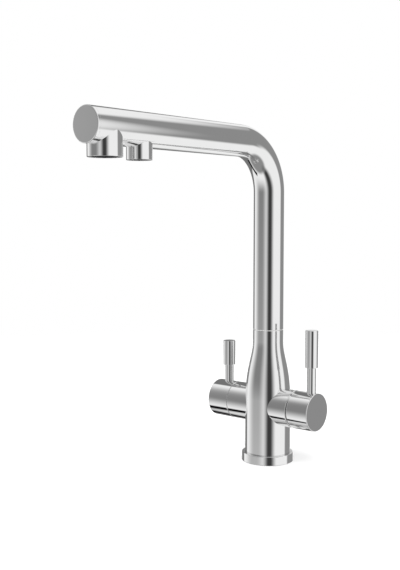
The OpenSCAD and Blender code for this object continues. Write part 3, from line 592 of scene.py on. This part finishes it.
class TAP_OT_levers(TapOperator):
    """Make the stem and the grip of both levers"""
    bl_idname = "tap.levers"
    bl_label = "Levers"

    def make(self, tap):
        for side, word, size, body in ((MIXER, "mixer", tap.mixer, "mixer_handle"),
                                       (FILTER, "filter", tap.filter, "filter_handle")):
            path = upright(side * size.lever)
            grip_foot = size.lever_top - size.grip_length
            root = size.axis_height + size.stem_root
            stem = outline([
                (root, 0, 0), (root, size.stem_radius, 0.0002),
                (grip_foot + 0.0005, size.stem_radius, 0.0002), (grip_foot + 0.0005, 0, 0)])
            piece = carried(word + "_stem_skin", stem, path, tap.segments // 2)
            belongs(piece, body, "chrome", finish_of("chrome"), word + "_lever_stem")
            grip = outline([
                (grip_foot, 0, 0), (grip_foot, size.grip_radius, size.grip_edge),
                (size.lever_top, size.grip_radius, size.grip_edge), (size.lever_top, 0, 0)])
            piece = carried(word + "_grip_skin", grip, path, tap.segments)
            belongs(piece, body, "chrome", finish_of("chrome"), word + "_lever_grip")


class TAP_OT_spout(TapOperator):
    """Make the bent spout tube and the disc that closes it"""
    bl_idname = "tap.spout"
    bl_label = "Spout"

    def make(self, tap):
        size = tap.spout
        path = bent(size)
        rise = size.height - size.bend_radius - size.foot
        arc = size.bend_radius * pi / 2
        disc_back = rise + arc + size.reach - size.disc_thickness - size.bend_radius
        bore = size.tube_radius - size.tube_wall
        tube = outline([
            (0, bore, 0), (0, size.tube_radius, size.seam_edge),
            (rise, size.tube_radius, 0), (rise + arc, size.tube_radius, 0),
            (disc_back, size.tube_radius, 0.00008), (disc_back, bore, 0.0002),
            (rise + arc, bore, 0), (rise, bore, 0), (CLOSING, bore, 0)], radians(9),
            TUBE_ROW)
        piece = carried("spout_tube_skin", tube, path, tap.segments)
        belongs(piece, "spout", "chrome", finish_of("chrome"), "spout_tube")

        face = disc_back + size.disc_thickness
        disc = outline([
            (disc_back, 0, 0), (disc_back, size.tube_radius, 0.00008),
            (face, size.tube_radius, size.disc_edge), (face, 0, 0)])
        piece = carried("spout_end_skin", disc, path, tap.segments)
        belongs(piece, "spout", "chrome", finish_of("chrome"), "spout_end_disc")


class TAP_OT_outlets(TapOperator):
    """Make the collars of the two water outlets"""
    bl_idname = "tap.outlets"
    bl_label = "Outlets"

    def make(self, tap):
        size = tap.spout
        under = size.height - size.tube_radius
        for word, reach, radius, bore, drop in (
                ("main", size.main_reach, size.main_radius, size.main_bore, size.main_drop),
                ("filter", size.filter_reach, size.filter_radius, size.filter_bore,
                 size.filter_drop)):
            bottom = under - drop
            top = size.height - size.tube_radius * 0.1
            collar = outline([
                (bottom, bore, 0), (bottom, radius, size.outlet_edge),
                (top, radius, 0.0002), (top, bore, 0.0002), (bottom + CLOSING, bore, 0)])
            piece = carried(word + "_collar_skin", collar, upright(0, -reach), tap.segments)
            belongs(piece, "spout", "chrome", finish_of("chrome"), word + "_outlet_collar")

        # painted shade: a black ring just inside the mouth of the mixed outlet stands for the shade
        # in its recess
        mouth = under - size.main_drop + size.painted_shade_ring_inset
        end = under - size.main_drop + size.insert_inset
        outer = size.main_bore - PAINTED_SHADE_RING_FIT
        inner = size.main_bore - size.painted_shade_ring_wall
        ring = outline([(mouth, inner, 0), (mouth, outer, 0.0001), (end, outer, 0.0001),
                        (end, inner, 0), (mouth + CLOSING, inner, 0)])
        piece = carried("main_outlet_painted_shade_ring", ring, upright(0, -size.main_reach), tap.segments)
        piece.data.materials.append(finish_of("black_plastic"))
        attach(piece, "spout")


# ---------------------------------------------------------------- studio

# The soft cards that stand round the white studio, as (place, height, half the width, half the
# height, softness of the edges, level). The place is in degrees round from the spout's side
# towards the mixer's side, the height in degrees above the deck, and a level of 1 is white.
CARDS = (
    (0, 90, 200, 20, 20, 0.50),    # grey ceiling
    (0, -90, 200, 35, 15, 0.30),   # grey table under the tap
    (-25, 20, 35, 40, 50, 0.25),   # grey scrim in front of the spout
    (45, 0, 20, 60, 30, 0.05),     # dark room behind the camera
    (-120, 10, 25, 60, 10, 0.20),  # dark flag behind, on the filter's side
    (165, 10, 30, 30, 10, 0.30),   # grey flag behind, on the mixer's side
    (-90, -45, 40, 5, 5, 0.00),    # black edge of the table, on the filter's side
)


# The level at which the world lights the object, the floor's half width and drop below the deck,
# its colour, and the distances from the tap between which it fades into the background
ROOM_LEVEL = 0.85
FLOOR_HALF, FLOOR_DROP = 1.2, 0.0002
FLOOR_COLOUR = (0.96, 0.96, 0.96)
FADE_FROM, FADE_TO = 0.35, 1.1
# The lamps as (name, place, size, power), all aimed at one place on the tap
LAMP_AIM = (0, -0.05, 0.1)
LAMPS = (
    ("key_lamp", (0.9, -1.1, 1.7), 1.3, 24),
    ("fill_lamp", (-1.3, -0.7, 1.4), 1.6, 9),
    ("back_lamp", (0.2, 1.5, 1.6), 1.4, 12),
)
# Where the camera stands, how far it looks down and turns in degrees, and its lens in millimetres
CAMERA_PLACE = (0.52147, -0.70036, 0.23987)
CAMERA_DOWN, CAMERA_TURN = 4.2176, 41.136
CAMERA_LENS, CAMERA_SENSOR = 55.558, 36


def card_of(tree, turn, height, card):
    """How much of a card a direction sees, from 0 to 1: one inside its box, falling to zero
    over its soft edges."""
    place, middle, width, tall, soft, level = card
    across = (turn - place + 180).maths("FLOORED_MODULO", 360) - 180
    along = height - middle
    inside = 1 - across.maths("ABSOLUTE").smooth(width - soft / 2, width + soft / 2)
    return inside * (1 - along.maths("ABSOLUTE").smooth(tall - soft / 2, tall + soft / 2))


def blend(tree, share, first, second):
    """Mix of two colours by a share."""
    return tree.add("Mix", {"data_type": "RGBA"}, {0: share, 6: first, 7: second}, output=2)


class TAP_OT_stage(TapOperator):
    """Make the floor, the studio that the chrome reflects, the lamps and the camera"""
    bl_idname = "tap.stage"
    bl_label = "Stage"

    def make(self, tap):
        self.studio()
        self.floor()
        self.lamps()
        self.camera()

    def studio(self):
        world = bpy.data.worlds.new("studio")
        bpy.context.scene.world = world
        tree = Tree(world)
        direction = tree.add("TexCoord", output=0)
        parts = tree.add("SeparateXYZ", {}, {0: direction})
        x, y, z = (Value(tree, parts.socket.node.outputs[i]) for i in range(3))
        turn = x.maths("ARCTAN2", -y)
        height = z.maths("ARCSINE") * degrees(1)
        white = (1, 1, 1, 1)
        level = white
        for card in CARDS:
            seen = card_of(tree, turn * degrees(1), height, card)
            level = blend(tree, seen, level, (card[-1],) * 3 + (1,))
        rays = tree.add("LightPath")
        camera_ray, glossy_ray, clear_ray = (
            Value(tree, rays.socket.node.outputs[name])
            for name in ("Is Camera Ray", "Is Glossy Ray", "Is Transmission Ray"))
        shown = camera_ray.maths("MAXIMUM", glossy_ray).maths("MAXIMUM", clear_ray)
        plain = blend(tree, shown, (ROOM_LEVEL,) * 3 + (1,), white)
        colour = blend(tree, glossy_ray, plain, level)
        background = tree.add("Background", {}, {"Color": colour, "Strength": 1.0})
        tree.add("OutputWorld", {}, {"Surface": background})

    def floor(self):
        corners = np.array([(-1, -1), (1, -1), (1, 1), (-1, 1)], float) * FLOOR_HALF
        vertices = np.column_stack([corners, np.full(4, -FLOOR_DROP)])
        mesh = bpy.data.meshes.new("floor")
        mesh.from_pydata(vertices.tolist(), [], [(0, 1, 2, 3)])
        floor = bpy.data.objects.new("floor", mesh)
        bpy.context.scene.collection.objects.link(floor)
        material = bpy.data.materials.new("pale_floor")
        tree = Tree(material)
        grain = noise(tree, 3.0, 2.0)
        colour = tinted(tree, FLOOR_COLOUR, 0.99 + 0.01 * grain)
        paint = tree.add("BsdfDiffuse", {}, {"Color": colour})
        clear = tree.add("BsdfTransparent")
        rays = tree.add("LightPath")
        glossy = Value(tree, rays.socket.node.outputs["Is Glossy Ray"])
        spot = tree.add("TexCoord", output=3)
        distance = tree.add("VectorMath", {"operation": "LENGTH"}, {0: spot}, output=1)
        fading = distance.smooth(FADE_FROM, FADE_TO)
        underside = Value(tree, tree.add("NewGeometry").socket.node.outputs["Backfacing"])
        unseen = glossy.maths("MAXIMUM", fading).maths("MAXIMUM", underside)
        shader = tree.add("MixShader", {}, {0: unseen, 1: paint, 2: clear})
        tree.add("OutputMaterial", {}, {"Surface": shader})
        mesh.materials.append(material)

    def lamps(self):
        for name, place, size, power in LAMPS:
            data = bpy.data.lights.new(name, "AREA")
            data.shape = "DISK"
            data.size = size
            data.energy = power
            lamp = bpy.data.objects.new(name, data)
            bpy.context.scene.collection.objects.link(lamp)
            lamp.location = place
            aim = np.array(LAMP_AIM) - np.array(place)
            lamp.rotation_euler = (atan2(hypot(aim[0], aim[1]), -aim[2]), 0,
                                   atan2(-aim[0], aim[1]))
            lamp.visible_glossy = False
            lamp.visible_camera = False

    def camera(self):
        data = bpy.data.cameras.new("camera")
        data.sensor_width = CAMERA_SENSOR
        data.lens = CAMERA_LENS
        camera = bpy.data.objects.new("camera", data)
        bpy.context.scene.collection.objects.link(camera)
        camera.location = CAMERA_PLACE
        camera.rotation_euler = (radians(90 - CAMERA_DOWN), 0, radians(CAMERA_TURN))
        bpy.context.scene.camera = camera
        bpy.context.scene.view_settings.view_transform = "Standard"


class TAP_PT_sidebar(Panel):
    """Lists the tap's operators and sizes"""
    bl_idname = "TAP_PT_sidebar"
    bl_label = "Three way tap"
    bl_space_type = "VIEW_3D"
    bl_region_type = "UI"
    bl_category = "Tap"

    def draw(self, context):
        for operator in OPERATORS:
            self.layout.operator(operator.bl_idname)
        tap = context.scene.tap
        self.layout.prop(tap, "segments")
        for group in (tap.spout, tap.body, tap.mixer, tap.filter, tap.finish):
            box = self.layout.box()
            for name in group.bl_rna.properties.keys():
                if name not in ("rna_type", "name"):
                    box.prop(group, name)


OPERATORS = (TAP_OT_finishes, TAP_OT_body, TAP_OT_hubs, TAP_OT_levers, TAP_OT_spout,
             TAP_OT_outlets, TAP_OT_stage)
CLASSES = (SpoutSizes, BodySizes, HubSizes, Finish, TapSettings) + OPERATORS + (TAP_PT_sidebar,)


def register():
    """Registers the classes and hangs the settings on the scene."""
    for each in CLASSES:
        bpy.utils.register_class(each)
    bpy.types.Scene.tap = PointerProperty(type=TapSettings)


def unregister():
    """Takes the settings and the classes away again."""
    del bpy.types.Scene.tap
    for each in reversed(CLASSES):
        bpy.utils.unregister_class(each)


def set_filter_hub(size):
    """The filtered water hub has a narrow seam, a longer sleeve and a shorter lever."""
    size.sleeve_end, size.sleeve_bore, size.sleeve_edge = 0.03815, 0.015, 0.0004
    size.rim, size.face, size.cap_bore = 0.03845, 0.0628, 0.015
    size.lever, size.lever_top, size.grip_length = 0.0497, 0.116, 0.0251


def main():
    """Builds everything."""
    register()
    set_filter_hub(bpy.context.scene.tap.filter)
    for operator in OPERATORS:
        group, name = operator.bl_idname.split(".")
        getattr(getattr(bpy.ops, group), name)()
    bpy.context.view_layer.update()


if __name__ == "__main__":
    main()
